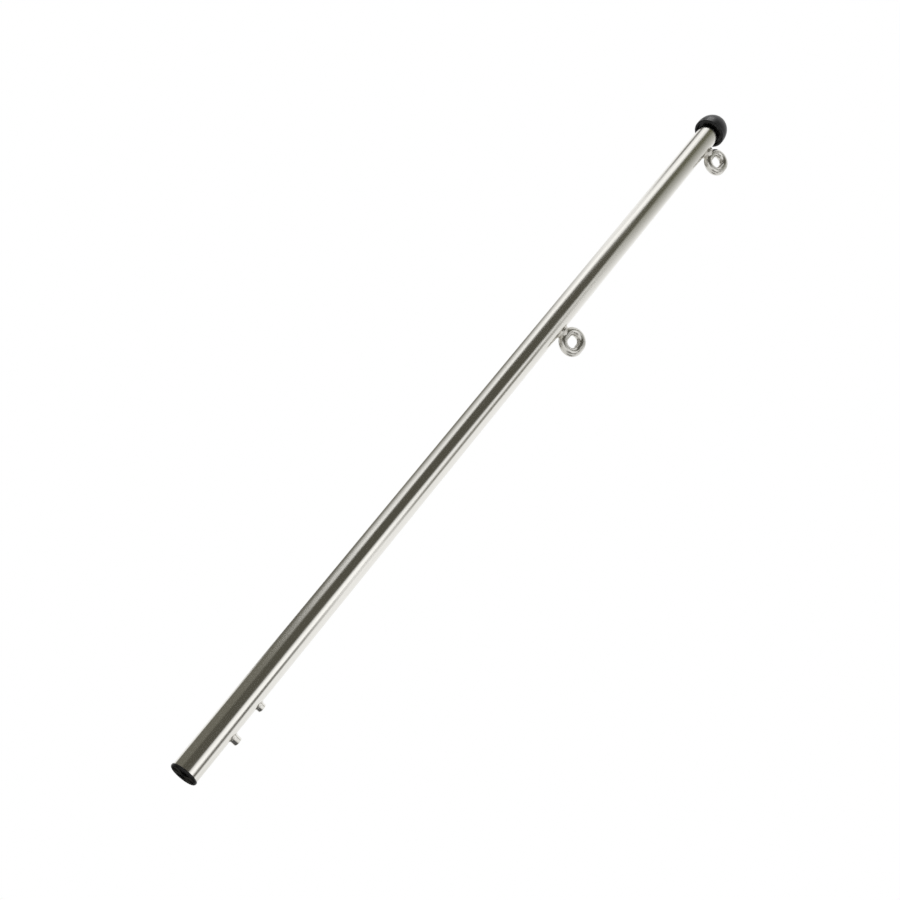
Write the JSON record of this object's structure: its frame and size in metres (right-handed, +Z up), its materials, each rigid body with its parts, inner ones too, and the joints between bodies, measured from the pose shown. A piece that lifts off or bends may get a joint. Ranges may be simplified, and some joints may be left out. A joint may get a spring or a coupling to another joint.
{
  "type": "flagstaff",
  "caption": "Slim polished tube flagstaff with a domed knob on top, side eyes for the flag's clips, short side studs near the foot and a flat foot plug.",
  "frame": {"origin": "centre of the flat underside of the foot plug", "axes": "+Z up the pole to the knob, +X out through the eyes and studs, eye holes along Y"},
  "size_m": [0.0607, 0.0364, 0.9737],
  "materials": {
    "stainless": "polished",
    "weld": "cleaned weld bead",
    "black_moulding": "satin"
  },
  "bodies": {
    "root": {"pole_tube": "stainless", "lower_eye": "stainless", "upper_eye": "stainless", "lower_stud": "stainless", "upper_stud": "stainless", "lower_eye_weld": "weld", "upper_eye_weld": "weld", "knob": "black_moulding", "foot_plug": "black_moulding"}
  },
  "joints": []
}
